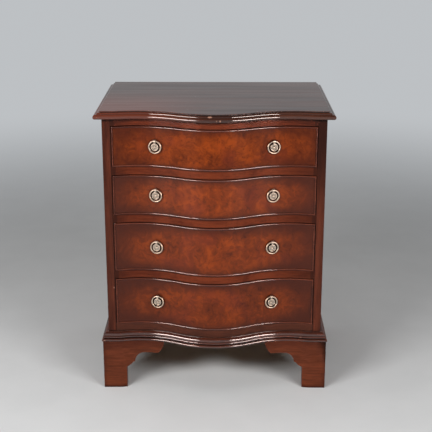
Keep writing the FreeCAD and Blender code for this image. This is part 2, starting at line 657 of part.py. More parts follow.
def make_carcass():
    """All fixed pieces of the chest, by node name."""
    rails = {"bottom_rail": (FOOT_HEIGHT, FLOORS[4])}
    for number in (1, 2, 3):
        rails[f"divider_rail_{number}"] = (FLOORS[number] - RAIL_THICKNESS, FLOORS[number])
    rails["top_rail"] = (TOP_RAIL_Z, CASE_TOP_Z)
    screws = make_screws()
    left_side = make_left_side([make_tenons(z_range) for z_range in rails.values()], screws)
    inside = (-OPENING_HALF, OPENING_HALF)
    panel_half = OPENING_HALF + BACK_REBATE
    bottom = block(inside, (RAIL_BACK_Y, PANEL_Y), (FOOT_HEIGHT, FOOT_HEIGHT + BOTTOM_THICKNESS))
    back = block((-panel_half, panel_half), (PANEL_Y, BACK_Y), (FOOT_HEIGHT, CASE_TOP_Z))
    base_front, base_left, base_right = make_base_mouldings()
    front_foot = make_front_left_foot()
    rear_foot = make_rear_left_foot()
    pieces = {
        "top_board": [make_top().cut(screws)],
        "left_side": [left_side],
        "right_side": [mirrored(left_side)],
        "bottom_board": [bottom],
        "back_panel": [back.cut(screws)],
        "drawer_runners": [runner.cut(screws) for runner in make_runners()],
        "drawer_stops": make_stops(),
        "base_moulding_front": [base_front],
        "base_moulding_left": [base_left],
        "base_moulding_right": [base_right],
        "front_left_foot": front_foot,
        "front_right_foot": [mirrored(piece) for piece in front_foot],
        "rear_left_foot": rear_foot,
        "rear_right_foot": [mirrored(piece) for piece in rear_foot],
        "wood_screws": screws,
    }
    for name, z_range in rails.items():
        pieces[name] = [make_rail(z_range).cut(screws)]
    return pieces


def save(name, shapes):
    """Write one node's solids to its own STEP file."""
    solids = [solid for shape in shapes for solid in shape.Solids]
    node = solids[0] if len(solids) == 1 else Part.makeCompound(solids)
    node.exportStep(f"parts/{name}.step")


os.makedirs("parts", exist_ok=True)
for node_name, node_shapes in make_carcass().items():
    save(node_name, node_shapes)
for drawer_number in OPENINGS:
    for node_name, node_shapes in make_drawer(drawer_number).items():
        save(node_name, node_shapes)
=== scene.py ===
import math
import bpy
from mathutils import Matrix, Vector

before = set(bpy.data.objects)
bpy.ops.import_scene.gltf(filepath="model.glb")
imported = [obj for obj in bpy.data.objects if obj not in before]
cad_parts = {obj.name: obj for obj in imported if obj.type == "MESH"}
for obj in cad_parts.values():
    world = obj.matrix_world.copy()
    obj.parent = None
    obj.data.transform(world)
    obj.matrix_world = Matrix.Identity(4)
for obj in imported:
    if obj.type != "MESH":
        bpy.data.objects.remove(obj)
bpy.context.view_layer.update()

# Case sides
# Two upright mahogany boards, stained dark red-brown and polished. Their front edges are the stiles.
# They are mortised for the rails, so the grain stands upright.


def put(tree, kind, inputs=None, **choices):
    """Add one shader node. An input is a plain value, or the socket that feeds it."""
    node = tree.nodes.new("ShaderNode" + kind)
    for name, choice in choices.items():
        setattr(node, name, choice)
    for name, value in (inputs or {}).items():
        if isinstance(value, bpy.types.NodeSocket):
            tree.links.new(value, node.inputs[name])
        else:
            node.inputs[name].default_value = value
    return node


def feed(node, socket, value):
    """Lead a value into one socket of a node."""
    node.id_data.links.new(value, node.inputs[socket])


def set_values(node, values):
    """Set plain values on a node's own sockets."""
    for socket, value in values.items():
        node.inputs[socket].default_value = value


def place_on(tree):
    """Place on a piece, in metres, as it lies in the closed chest."""
    return put(tree, "TexCoord").outputs["Object"]


def split(tree, vector):
    """The three axes of a place or a direction."""
    return put(tree, "SeparateXYZ", {0: vector}).outputs


def blend(tree, share, first, second):
    """Colour that goes from the first to the second as the share goes from 0 to 1."""
    return put(tree, "Mix", {0: share, 6: first, 7: second}, data_type="RGBA").outputs[2]


def fade(tree, value, start, end, low=0.0, high=1.0):
    """Value that eases from low to high while another goes from start to end."""
    inputs = {"Value": value, "From Min": start, "From Max": end, "To Min": low, "To Max": high}
    return put(tree, "MapRange", inputs, interpolation_type="SMOOTHSTEP").outputs[0]


def sums(tree, operation, *given):
    """Value that comes of one sum on one or two others."""
    return put(tree, "Math", dict(enumerate(given)), operation=operation).outputs[0]


def times(tree, product, *others):
    """Values multiplied together."""
    for other in others:
        product = sums(tree, "MULTIPLY", product, other)
    return product


def most(tree, largest, *others):
    """Largest of several values."""
    for other in others:
        largest = sums(tree, "MAXIMUM", largest, other)
    return largest


def from_middle(tree, value, middle=0.0):
    """Distance of a value from a middle, on either side of it."""
    return sums(tree, "ABSOLUTE", sums(tree, "SUBTRACT", value, middle))


def vectors(tree, operation, *given):
    """Vector that comes of one sum on two or three others."""
    return put(tree, "VectorMath", dict(enumerate(given)), operation=operation).outputs[0]


def measure(tree, operation, *given):
    """Number that comes of one sum on one or two vectors."""
    return put(tree, "VectorMath", dict(enumerate(given)), operation=operation).outputs["Value"]


def noise(tree, place, scale, detail=4.0, roughness=0.55, distortion=0.0, colour=False):
    """Soft random pattern at a place, with a number of blotches to the metre, as a value or a colour."""
    inputs = {"Vector": place, "Scale": scale, "Detail": detail,
              "Roughness": roughness, "Distortion": distortion}
    return put(tree, "TexNoise", inputs).outputs[1 if colour else 0]


def new_group(name, inputs, outputs):
    """Empty shader node group with named sockets: the group, what it is given, and its end node."""
    group = bpy.data.node_groups.new(name, "ShaderNodeTree")
    for socket, kind in inputs.items():
        group.interface.new_socket(socket, in_out="INPUT", socket_type="NodeSocket" + kind)
    for socket, kind in outputs.items():
        group.interface.new_socket(socket, in_out="OUTPUT", socket_type="NodeSocket" + kind)
    return group, group.nodes.new("NodeGroupInput").outputs, group.nodes.new("NodeGroupOutput")


def place_group(tree, group, **inputs):
    """One use of a shader node group, with its own values."""
    named = {name.replace("_", " "): value for name, value in inputs.items()}
    return put(tree, "Group", named, node_tree=group).outputs


# A spread or a band is where a fade starts and ends, and its values there if they aren't 0 and 1.
FIBRES = 8.0
PORES = 26.0
BROAD_SHARE = 0.65
FIBRE_SHARE = 0.35
GRAIN_SPREAD = (0.36, 0.64)
PORE_SPREAD = (0.58, 0.72)
PORE_DEPTH = 0.45
PORE_COLOUR = (0.012, 0.005, 0.004, 1.0)


def make_straight_grain():
    """Straight grain: broad streaks, fine fibres and short dark pores along one direction."""
    group, given, made = new_group(
        "straight_grain", {"Streaks": "Vector", "Dark": "Color", "Light": "Color"},
        {"Colour": "Color", "Pores": "Float"})
    place = vectors(group, "MULTIPLY", place_on(group), given["Streaks"])
    broad = times(group, noise(group, place, 1.0, detail=5.0, distortion=0.7), BROAD_SHARE)
    fibres = times(group, noise(group, place, FIBRES, detail=3.0), FIBRE_SHARE)
    tone = fade(group, sums(group, "ADD", broad, fibres), *GRAIN_SPREAD)
    colour = blend(group, tone, given["Dark"], given["Light"])
    pores = fade(group, noise(group, place, PORES, detail=2.0), *PORE_SPREAD)
    feed(made, "Colour", blend(group, times(group, pores, PORE_DEPTH), colour, PORE_COLOUR))
    feed(made, "Pores", pores)
    return group


DIRT_AND_SHADE_BAND = (0.92, 0.32)
TURNED_BAND = (0.985, 0.86)
OPEN_BAND = (0.45, 0.75)
RUB_PATCHES = 34.0
RUB_SPREAD = (0.42, 0.62)


def make_age_and_shade():
    """Dirt and painted shade in quirks, corners and gaps, darker the more closed in a place is, and rubbing
    that wears the outer edges.
    """
    group, given, made = new_group(
        "age_and_shade", {"Dirt Reach": "Float", "Edge Width": "Float"}, {"Dirt And Shade": "Float", "Rub": "Float"})
    # How closed in a place is darkens it: real dirt and painted shade together.
    openness = put(group, "AmbientOcclusion", {"Distance": given["Dirt Reach"]}, samples=8).outputs["AO"]
    feed(made, "Dirt And Shade", fade(group, openness, *DIRT_AND_SHADE_BAND))
    rounded = put(group, "Bevel", {"Radius": given["Edge Width"]}, samples=6).outputs[0]
    turned = measure(group, "DOT_PRODUCT", rounded, put(group, "NewGeometry").outputs["Normal"])
    edge = times(group, fade(group, turned, *TURNED_BAND), fade(group, openness, *OPEN_BAND))
    patches = noise(group, place_on(group), RUB_PATCHES, detail=6.0, roughness=0.7)
    feed(made, "Rub", times(group, edge, fade(group, patches, *RUB_SPREAD)))
    return group


GLOSS_PATCHES = 16.0
GLOSS_START = 0.3
GLOSS_END = 0.7
RIPPLES = 55.0
PORE_SINK = 0.08


def make_hand_polish():
    """Hand polish: gloss that varies in soft patches, over a face that is never quite flat."""
    group, given, made = new_group(
        "hand_polish", {"Smoothest": "Float", "Dullest": "Float", "Pores": "Float"},
        {"Roughness": "Float", "Height": "Float"})
    place = place_on(group)
    gloss = {"Value": noise(group, place, GLOSS_PATCHES, detail=5.0, roughness=0.6),
             "From Min": GLOSS_START, "From Max": GLOSS_END,
             "To Min": given["Smoothest"], "To Max": given["Dullest"]}
    feed(made, "Roughness", put(group, "MapRange", gloss).outputs[0])
    ripple = noise(group, place, RIPPLES, detail=2.0)
    feed(made, "Height", sums(group, "SUBTRACT", ripple, times(group, given["Pores"], PORE_SINK)))
    return group


STRAIGHT_GRAIN = make_straight_grain()
AGE_AND_SHADE = make_age_and_shade()
HAND_POLISH = make_hand_polish()
RIPPLE_HEIGHT = 0.0006


def new_material(name):
    """Material with only its Principled shader, ready for nodes."""
    material = bpy.data.materials.new(name)
    material.use_nodes = True
    return material, material.node_tree, material.node_tree.nodes["Principled BSDF"]


def lay_surface(tree, shader, smoothest, dullest, pores, ripple):
    """Feed the shader an uneven gloss and a face that is never quite flat."""
    polish = place_group(tree, HAND_POLISH, Smoothest=smoothest, Dullest=dullest, Pores=pores)
    feed(shader, "Roughness", polish["Roughness"])
    uneven = put(tree, "Bump", {"Strength": ripple, "Distance": RIPPLE_HEIGHT, "Height": polish["Height"]})
    feed(shader, "Normal", uneven.outputs[0])


def coat_of_polish(weight, roughness, ior):
    """Values for a coat of polish. The wood under it has no shine of its own."""
    return {"Specular IOR Level": 0.0, "Coat Weight": weight, "Coat Roughness": roughness, "Coat IOR": ior}


# Dirt and painted shade: a near-black laid into quirks, corners and the gaps between parts.
DIRT_AND_SHADE_COLOUR = (0.006, 0.003, 0.002, 1.0)
DIRT_AND_SHADE_REACH = 0.012
DIRT_AND_SHADE_SHARE = 0.9
RUBBED_COLOUR = (0.30, 0.105, 0.055, 1.0)
RUBBED_WIDTH = 0.0012
RUBBED_SHARE = 0.55
WOOD_SMOOTHEST = 0.38
WOOD_DULLEST = 0.54
RIPPLE = 0.12
SOFT_SHINE = coat_of_polish(0.55, 0.2, 1.3)


def age_shade_and_polish(tree, shader, colour, pores, shine, ripple=RIPPLE):
    """Lay dirt and painted shade in quirks and corners, rubbed edges and hand polish over a wood colour,
    and feed the shader.
    """
    age_and_shade_masks = place_group(tree, AGE_AND_SHADE, Dirt_Reach=DIRT_AND_SHADE_REACH, Edge_Width=RUBBED_WIDTH)
    rubbed = blend(tree, times(tree, age_and_shade_masks["Rub"], RUBBED_SHARE), colour, RUBBED_COLOUR)
    feed(shader, "Base Color", blend(tree, times(tree, age_and_shade_masks["Dirt And Shade"], DIRT_AND_SHADE_SHARE), rubbed, DIRT_AND_SHADE_COLOUR))
    lay_surface(tree, shader, WOOD_SMOOTHEST, WOOD_DULLEST, pores, ripple)
    set_values(shader, shine)


KNOCKED_COLOUR = (0.48, 0.25, 0.17, 1.0)
KNOCK_START = 1.0
KNOCK_END = 0.35


def knocked(tree, colour, middle, reach, depth):
    """Colour with the polish knocked off down to paler wood, in one small spot."""
    away = vectors(tree, "SUBTRACT", place_on(tree), middle)
    distance = measure(tree, "LENGTH", vectors(tree, "DIVIDE", away, reach))
    return blend(tree, fade(tree, distance, KNOCK_START, KNOCK_END, high=depth), colour, KNOCKED_COLOUR)


MAHOGANY_DARK = (0.053, 0.0125, 0.0065, 1.0)
MAHOGANY_LIGHT = (0.122, 0.0275, 0.0125, 1.0)
# Colour of toned polish and of painted shade.
TONED_AND_SHADED_COLOUR = (0.050, 0.0105, 0.005, 1.0)


def polished_mahogany(name, streaks, shine=SOFT_SHINE, dark=MAHOGANY_DARK, light=MAHOGANY_LIGHT,
                      toning_and_shade=None, tone_and_shade=TONED_AND_SHADED_COLOUR, ripple=RIPPLE, knocks=()):
    """Stained, grain-filled and polished mahogany with the grain along one axis.
    The toning and shade is a function of the place that says where the colour turns to the second one, for
    painted shade and shadow, for darker wood and for a redder patch.
    A knock is the middle of a small spot, its reach along each axis, and its depth from 0 to 1."""
    material, tree, shader = new_material(name)
    grain = place_group(tree, STRAIGHT_GRAIN, Streaks=streaks, Dark=dark, Light=light)
    colour = grain["Colour"]
    if toning_and_shade:
        x, y, z = split(tree, place_on(tree))
        colour = blend(tree, toning_and_shade(tree, x, y, z), colour, tone_and_shade)
    for middle, reach, depth in knocks:
        colour = knocked(tree, colour, middle, reach, depth)
    age_shade_and_polish(tree, shader, colour, grain["Pores"], shine, ripple)
    return material


CORNER_ANGLE = math.radians(28)
WELD_DISTANCE = 0.00001


def make_eased_edges():
    """Shape nodes that join a node's faces and keep only its true corners sharp."""
    tree = bpy.data.node_groups.new("eased_edges", "GeometryNodeTree")
    tree.interface.new_socket("Geometry", in_out="INPUT", socket_type="NodeSocketGeometry")
    tree.interface.new_socket("Geometry", in_out="OUTPUT", socket_type="NodeSocketGeometry")

    def step(kind, before, **choices):
        node = tree.nodes.new("GeometryNode" + kind)
        for name, choice in choices.items():
            setattr(node, name, choice)
        tree.links.new(before, node.inputs["Geometry"])
        return node

    bare = step("RemoveAttribute", tree.nodes.new("NodeGroupInput").outputs[0])
    bare.inputs["Name"].default_value = "custom_normal"
    welded = step("MergeByDistance", bare.outputs[0])
    welded.inputs["Distance"].default_value = WELD_DISTANCE
    smooth = step("SetShadeSmooth", welded.outputs[0], domain="FACE")
    corners = step("SetShadeSmooth", smooth.outputs[0], domain="EDGE")
    corners.inputs["Shade Smooth"].default_value = False
    sharp = tree.nodes.new("FunctionNodeCompare")
    sharp.operation = "GREATER_THAN"
    sharp.inputs["B"].default_value = CORNER_ANGLE
    tree.links.new(tree.nodes.new("GeometryNodeInputMeshEdgeAngle").outputs[0], sharp.inputs["A"])
    tree.links.new(sharp.outputs[0], corners.inputs["Selection"])
    tree.links.new(corners.outputs[0], tree.nodes.new("NodeGroupOutput").inputs[0])
    return tree


EASED_EDGES = make_eased_edges()
ROUNDING_STEPS = 2
FLAT_FACES = bpy.data.collections.new("flat_faces")


def dress(node, material, rounding=0.0, shine_group=None):
    """Give a node its finish and, where a rounding is given, take its sharp corners off.
    The pieces of a shine group share the lamps or panels that give them their shine."""
    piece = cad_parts[node]
    piece.data.materials.clear()
    piece.data.materials.append(material)
    if shine_group:
        shine_group.objects.link(piece)
    if rounding:
        joined = piece.modifiers.new("joined_faces", "NODES")
        joined.node_group = EASED_EDGES
        eased = piece.modifiers.new("eased_corners", "BEVEL")
        eased.width = rounding
        eased.segments = ROUNDING_STEPS
        eased.limit_method = "ANGLE"
        eased.angle_limit = CORNER_ANGLE
        eased.harden_normals = True


STILE_OUTER_BAND = (0.255, 0.268)
STILE_INNER_SHADOW_BAND = (0.2530, 0.2495, 0.0, 0.75)
STILE_FRONT_BAND = (-0.135, -0.155, 0.0, 0.42)
RIGHT_STILE_BAND = (0.20, 0.25)
STILE_HEAD_BAND = (0.40, 0.66, 0.0, 0.95)
HEAD_FRONT_BAND = (-0.10, -0.15)


def stile_darkening(tree, x, y, z):
    """Painted shadow along the inner edge of each stile beside the upright beads, and darker along its
    outer corner and at the head of the right stile.
    """
    out = from_middle(tree, x)
    outer = times(tree, fade(tree, out, *STILE_OUTER_BAND), fade(tree, y, *STILE_FRONT_BAND))
    # Painted shadow in the gap beside the drawers' upright beads.
    inner = fade(tree, out, *STILE_INNER_SHADOW_BAND)
    head = times(tree, fade(tree, x, *RIGHT_STILE_BAND), fade(tree, z, *STILE_HEAD_BAND))
    return most(tree, outer, inner, times(tree, head, fade(tree, y, *HEAD_FRONT_BAND)))


GRAIN_FINE = 30.0
GRAIN_LONG = 2.4
UPRIGHT_GRAIN = (GRAIN_FINE, GRAIN_FINE, GRAIN_LONG)
SIDE_ROUNDING = 0.0007
STILE_DARKER_COLOUR = (0.022, 0.0055, 0.003, 1.0)
STILE_KNOCK = ((-0.2527, -0.1602, 0.2712), (0.0013, 0.01, 0.0036), 0.6)
side_mahogany = polished_mahogany(
    "side_mahogany", UPRIGHT_GRAIN, toning_and_shade=stile_darkening, tone_and_shade=STILE_DARKER_COLOUR, knocks=[STILE_KNOCK])
for side in ("left_side", "right_side"):
    dress(side, side_mahogany, SIDE_ROUNDING, FLAT_FACES)

# Rails
# Five serpentine mahogany rails, sawn to the curve of the front and tenoned into the sides.
# Their grain runs from side to side.


def share_of(tree):
    """Place on a piece as a share of its length along each axis."""
    return put(tree, "TexCoord").outputs["Generated"]


RAIL_END_SHADE_BAND = (0.19, 0.245, 0.0, 0.58)
RAIL_TIP_SHADE_BAND = (0.230, 0.243, 0.0, 0.88)
RAIL_RIGHT_BAND = (0.13, 0.24, 0.0, 0.62)
RAIL_TOP_SHADOW_BAND = (0.76, 0.96, 0.0, 0.75)
RAIL_LOW_SHADOW_BAND = (0.16, 0.0, 0.0, 0.6)


def rail_shade(tree, x, y, z):
    """Painted shade at both ends of a rail where it meets the stiles, painted shadow along its top and
    bottom edges beside the beads and under the top, and darker towards its right end.
    """
    out = from_middle(tree, x)
    up = split(tree, share_of(tree))["Z"]
    # Painted shade at the ends and painted shadow along the edges.
    ends = most(tree, fade(tree, out, *RAIL_END_SHADE_BAND), fade(tree, out, *RAIL_TIP_SHADE_BAND))
    edges = most(tree, fade(tree, up, *RAIL_TOP_SHADOW_BAND), fade(tree, up, *RAIL_LOW_SHADOW_BAND))
    return most(tree, ends, fade(tree, x, *RAIL_RIGHT_BAND), edges)


CROSS_GRAIN = (GRAIN_LONG, GRAIN_FINE, GRAIN_FINE)
RAIL_ROUNDING = 0.0006
RAIL_DARK = (0.084, 0.0145, 0.005, 1.0)
RAIL_LIGHT = (0.165, 0.031, 0.010, 1.0)
RAIL_SHADE_COLOUR = (0.026, 0.006, 0.003, 1.0)
RAIL_SHINE = coat_of_polish(0.5, 0.26, 1.3)
FRIEZE_SHINE = coat_of_polish(0.5, 0.2, 1.43)
LOW_RAIL_DARK = (0.050, 0.0125, 0.006, 1.0)
LOW_RAIL_LIGHT = (0.098, 0.0245, 0.0105, 1.0)
LOW_RAIL_SHINE = coat_of_polish(0.8, 0.3, 1.3)
rail_mahogany = polished_mahogany(
    "rail_mahogany", CROSS_GRAIN, RAIL_SHINE, RAIL_DARK, RAIL_LIGHT, rail_shade, RAIL_SHADE_COLOUR)
frieze_mahogany = polished_mahogany(
    "frieze_mahogany", CROSS_GRAIN, FRIEZE_SHINE, RAIL_DARK, RAIL_LIGHT, rail_shade, RAIL_SHADE_COLOUR)
low_rail_mahogany = polished_mahogany(
    "low_rail_mahogany", CROSS_GRAIN, LOW_RAIL_SHINE, LOW_RAIL_DARK, LOW_RAIL_LIGHT)
MOULDED_EDGES = bpy.data.collections.new("moulded_edges")
dress("top_rail", frieze_mahogany, RAIL_ROUNDING, MOULDED_EDGES)
for rail in ("divider_rail_1", "divider_rail_2", "divider_rail_3"):
    dress(rail, rail_mahogany, RAIL_ROUNDING, FLAT_FACES)
dress("bottom_rail", low_rail_mahogany, RAIL_ROUNDING, FLAT_FACES)

# Bottom board and back panel
# Plain secondary wood that never got any polish. The bottom is let in behind the bottom rail,
# and the back is a thin panel screwed into a rebate.

LINING_DARK = (0.17, 0.095, 0.045, 1.0)
LINING_LIGHT = (0.36, 0.225, 0.115, 1.0)
# Dirt and painted shade darken the linings' corners and recesses.
LINING_DIRT_AND_SHADE = (0.05, 0.028, 0.014, 1.0)
LINING_DIRT_AND_SHADE_REACH = 0.03
LINING_DIRT_AND_SHADE_SHARE = 0.6
LINING_EDGE_WIDTH = 0.001
LINING_SMOOTHEST = 0.58
LINING_DULLEST = 0.78
LINING_RIPPLE = 0.35


def plain_lining(name, streaks, dark=LINING_DARK, light=LINING_LIGHT):
    """Unpolished secondary wood, with dirt and painted shade darkening its corners."""
    material, tree, shader = new_material(name)
    grain = place_group(tree, STRAIGHT_GRAIN, Streaks=streaks, Dark=dark, Light=light)
    age_and_shade_masks = place_group(tree, AGE_AND_SHADE, Dirt_Reach=LINING_DIRT_AND_SHADE_REACH, Edge_Width=LINING_EDGE_WIDTH)
    grime_and_shade = times(tree, age_and_shade_masks["Dirt And Shade"], LINING_DIRT_AND_SHADE_SHARE)
    feed(shader, "Base Color", blend(tree, grime_and_shade, grain["Colour"], LINING_DIRT_AND_SHADE))
    lay_surface(tree, shader, LINING_SMOOTHEST, LINING_DULLEST, grain["Pores"], LINING_RIPPLE)
    return material


BOARD_ROUNDING = 0.0006
BACK_DARK = (0.10, 0.05, 0.025, 1.0)
BACK_LIGHT = (0.21, 0.12, 0.06, 1.0)
dress("bottom_board", plain_lining("bottom_wood", CROSS_GRAIN), BOARD_ROUNDING)
dress("back_panel", plain_lining("back_wood", UPRIGHT_GRAIN, BACK_DARK, BACK_LIGHT))

# Drawer runners and stops
# Hardwood strips glued to the sides, level with the rails, and small blocks behind each front.
# They are left bare, with the grain along the drawer's travel.

DEEP_GRAIN = (GRAIN_FINE, GRAIN_LONG, GRAIN_FINE)
dress("drawer_runners", plain_lining("runner_wood", DEEP_GRAIN), BOARD_ROUNDING)
dress("drawer_stops", plain_lining("stop_wood", CROSS_GRAIN))

# Top board
# One wide mahogany board, moulded round the front and both ends with a bead over a half-round.
# It is screwed up through the top rail and the kickers, and its flat face carries the best polish.

RED_PATCH_LEFT_BAND = (0.02, -0.20)
RED_PATCH_FRONT_BAND = (0.10, -0.12, 0.0, 0.75)


def top_red_patch(tree, x, y, z):
    """Redder wood at the front left of the flat face."""
    return times(tree, fade(tree, x, *RED_PATCH_LEFT_BAND), fade(tree, y, *RED_PATCH_FRONT_BAND))


TOP_ROUNDING = 0.0005
TOP_SHINE = coat_of_polish(1.0, 0.09, 1.65)
TOP_DARK = (0.032, 0.0105, 0.0062, 1.0)
TOP_LIGHT = (0.072, 0.0225, 0.0120, 1.0)
RED_PATCH_COLOUR = (0.135, 0.029, 0.014, 1.0)
FINE_RIPPLE = 0.05
TOP_KNOCKS = [
    ((-0.0100, -0.209, 0.7184), (0.0066, 0.01, 0.0022), 0.9),
    ((0.0055, -0.217, 0.7108), (0.0018, 0.01, 0.0030), 0.35),
    ((0.0140, -0.217, 0.7108), (0.0026, 0.01, 0.0034), 0.6),
]
HANDLED_BAND = (0.80, 0.97, 1.0, 0.775)
END_GRAIN_BAND = (0.60, 0.90, 1.0, 0.35)
WORN_STREAKS = 1.6
WORN_SPREAD = (0.35, 0.65, 0.86, 1.0)
top_mahogany = polished_mahogany(
    "top_mahogany", CROSS_GRAIN, TOP_SHINE, TOP_DARK, TOP_LIGHT, top_red_patch, RED_PATCH_COLOUR,
    FINE_RIPPLE, TOP_KNOCKS)
top_tree = top_mahogany.node_tree
facing = split(top_tree, put(top_tree, "NewGeometry").outputs["Normal"])
handled = fade(top_tree, facing["Z"], *HANDLED_BAND)
end_grain = fade(top_tree, from_middle(top_tree, facing["X"]), *END_GRAIN_BAND)
top_streaks = vectors(top_tree, "MULTIPLY", place_on(top_tree), CROSS_GRAIN)
worn = fade(top_tree, noise(top_tree, top_streaks, WORN_STREAKS, detail=5.0), *WORN_SPREAD)
feed(top_tree.nodes["Principled BSDF"], "Coat Weight", times(top_tree, handled, end_grain, worn))
dress("top_board", top_mahogany, TOP_ROUNDING, MOULDED_EDGES)

# Base mouldings
# Three mahogany lengths with an ovolo over two beads, mitred at the front corners
# and glued round the foot of the case.

BASE_ROUNDING = 0.0004
BRIGHT_SHINE = coat_of_polish(1.0, 0.14, 1.79)
BASE_DARK = (0.036, 0.0085, 0.0045, 1.0)
BASE_LIGHT = (0.080, 0.0185, 0.0085, 1.0)
BASE_KNOCKS = [
    ((0.2191, -0.1691, 0.1393), (0.0040, 0.02, 0.0024), 0.35),
    ((-0.2800, -0.1760, 0.1320), (0.0034, 0.02, 0.0022), 0.45),
]
base_mahogany = polished_mahogany(
    "base_mahogany", CROSS_GRAIN, BRIGHT_SHINE, BASE_DARK, BASE_LIGHT,
    ripple=FINE_RIPPLE, knocks=BASE_KNOCKS)
end_base_mahogany = polished_mahogany("end_base_mahogany", DEEP_GRAIN, dark=BASE_DARK, light=BASE_LIGHT)
dress("base_moulding_front", base_mahogany, BASE_ROUNDING, MOULDED_EDGES)
for moulding in ("base_moulding_left", "base_moulding_right"):
    dress(moulding, end_base_mahogany, BASE_ROUNDING, FLAT_FACES)

# Bracket feet
# Shaped mahogany brackets, mitred in pairs at the front corners, with a glue block behind each joint.
# The rear feet have a plain bracket at the back.

FOOT_HEAD_SHADOW_BAND = (0.098, 0.127, 0.0, 0.65)
FOOT_SOLE_BAND = (0.014, 0.001, 0.0, 0.6)
FOOT_CORNER_BAND = (0.272, 0.284, 0.0, 0.55)


def foot_shade(tree, x, y, z):
    """Painted shadow where a foot meets the moulding above it, and darker wood at its outer corner and at
    the floor.
    """
    # The band at the head of the foot is painted shadow under the moulding.
    corner = fade(tree, from_middle(tree, x), *FOOT_CORNER_BAND)
    return most(tree, fade(tree, z, *FOOT_HEAD_SHADOW_BAND), fade(tree, z, *FOOT_SOLE_BAND), corner)


FOOT_ROUNDING = 0.0009
FOOT_DARK = (0.086, 0.0200, 0.008, 1.0)
FOOT_LIGHT = (0.172, 0.040, 0.0155, 1.0)
foot_mahogany = polished_mahogany(
    "foot_mahogany", CROSS_GRAIN, dark=FOOT_DARK, light=FOOT_LIGHT, toning_and_shade=foot_shade)
for foot in ("front_left_foot", "front_right_foot", "rear_left_foot", "rear_right_foot"):
    dress(foot, foot_mahogany, FOOT_ROUNDING, FLAT_FACES)

# Drawer boxes
# Thin sides dovetailed into the front, a back housed between them and a bottom slid into grooves.
# All are plain secondary wood, left bare.

DRAWERS = (1, 2, 3, 4)
box_side_wood = plain_lining("box_side_wood", DEEP_GRAIN)
box_back_wood = plain_lining("box_back_wood", CROSS_GRAIN)
for number in DRAWERS:
    for side in ("left_side", "right_side"):
        dress(f"drawer_{number}_{side}", box_side_wood, BOARD_ROUNDING)
    for board in ("back", "bottom"):
        dress(f"drawer_{number}_{board}", box_back_wood, BOARD_ROUNDING)

# Drawer fronts
# Serpentine fronts faced with burr veneer: tight curls and eyes that run from orange-brown
# in the middle to a darker red-brown round the edges, partly toned polish and partly painted shade.

SQUARE_ON = (1.0, 0.0, 1.0)
SWIRLS = 14.0
SWIRL_MIDDLE = (0.5, 0.5, 0.5)
SWIRL_REACH = (0.05, 0.0, 0.05)
CLOUDS = 21.0
CLOUD_SHARE = 0.42
CURLS = 70.0
CURL_SHARE = 0.50
STREAKS = (110.0, 1.0, 22.0)
STREAK_SHARE = 0.10
DARK_SPREAD = (0.36, 0.50)
LIGHT_SPREAD = (0.48, 0.62)
BLUSHES = 10.0
BLUSH_SPREAD = (0.50, 0.66, 0.0, 0.45)
EYES = 150.0
EYE_BAND = (0.34, 0.10)
EYE_CLUSTERS = 26.0
CLUSTER_SPREAD = (0.48, 0.62)
EYE_DEPTH = 0.55
EYE_COLOUR = (0.030, 0.008, 0.004, 1.0)


def make_burr_figure():
    """Burr figure seen square on: clouds, curls, streaks and clustered dark eyes."""
    inputs = {"Shift": "Vector", "Dark": "Color", "Middle": "Color", "Light": "Color", "Blush": "Color"}
    group, given, made = new_group("burr_figure", inputs, {"Colour": "Color", "Eyes": "Float"})
    flat = vectors(group, "MULTIPLY", place_on(group), SQUARE_ON)
    place = vectors(group, "ADD", flat, given["Shift"])
    swirl = vectors(group, "SUBTRACT", noise(group, place, SWIRLS, colour=True), SWIRL_MIDDLE)
    curl = vectors(group, "MULTIPLY_ADD", swirl, SWIRL_REACH, place)
    clouds = noise(group, curl, CLOUDS, detail=3.0)
    curls = noise(group, curl, CURLS, detail=6.0, roughness=0.66, distortion=0.8)
    streaks = noise(group, vectors(group, "MULTIPLY", curl, STREAKS), 1.0, detail=4.0)
    tone = sums(group, "ADD", times(group, clouds, CLOUD_SHARE), times(group, curls, CURL_SHARE))
    tone = sums(group, "ADD", tone, times(group, streaks, STREAK_SHARE))
    colour = blend(group, fade(group, tone, *DARK_SPREAD), given["Dark"], given["Middle"])
    colour = blend(group, fade(group, tone, *LIGHT_SPREAD), colour, given["Light"])
    blush = fade(group, noise(group, place, BLUSHES, detail=3.0), *BLUSH_SPREAD)
    colour = blend(group, blush, colour, given["Blush"])
    spots = put(group, "TexVoronoi", {"Vector": curl, "Scale": EYES}).outputs["Distance"]
    clusters = fade(group, noise(group, place, EYE_CLUSTERS, detail=2.0), *CLUSTER_SPREAD)
    eyes = times(group, fade(group, spots, *EYE_BAND), clusters)
    feed(made, "Colour", blend(group, times(group, eyes, EYE_DEPTH), colour, EYE_COLOUR))
    feed(made, "Eyes", eyes)
    return group


BURR_FIGURE = make_burr_figure()
BURR_COLOURS = {
    "Dark": Vector((0.075, 0.0135, 0.004)),
    "Middle": Vector((0.165, 0.0275, 0.005)),
    "Light": Vector((0.275, 0.046, 0.006)),
    "Blush": Vector((0.155, 0.024, 0.011)),
}
LEAF_MIDDLE = 0.5
LEAF_HEART = 0.48
RIM_SQUARENESS = 2.5
RAGGED_PATCHES = 18.0
RAGGED_REACH = 0.24
RIM_START = 0.64
RIM_END = 1.22


